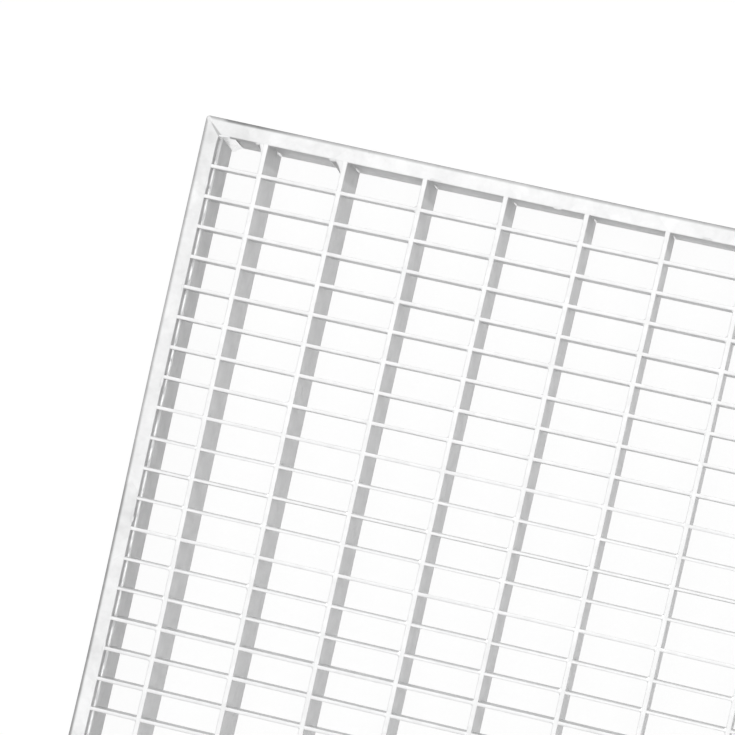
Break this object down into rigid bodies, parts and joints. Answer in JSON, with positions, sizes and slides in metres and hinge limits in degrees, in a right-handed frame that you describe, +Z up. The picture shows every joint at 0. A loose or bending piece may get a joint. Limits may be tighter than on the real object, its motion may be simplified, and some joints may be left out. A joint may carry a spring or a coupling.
{
  "type": "steel grating panel",
  "caption": "Flat galvanised steel grating panel of upright bearing bars and slim flush cross bars, framed by a mitred T-section edge trim.",
  "frame": {"origin": "centre of the panel at its underside, on the floor that it lies on", "axes": "+Z up; X runs across the bearing bars, along the longer side, and Y runs along them; +Y is the back trim and -X is the left trim, where the bar spacing is set out from"},
  "size_m": [0.59, 0.39, 0.03],
  "materials": {
    "trim_zinc": "satin",
    "mesh_zinc": "satin"
  },
  "bodies": {
    "root": {"trim_back": "trim_zinc", "trim_front": "trim_zinc", "trim_left": "trim_zinc", "trim_right": "trim_zinc", "mesh_left": "mesh_zinc", "mesh_middle": "mesh_zinc", "mesh_right": "mesh_zinc"}
  },
  "joints": []
}
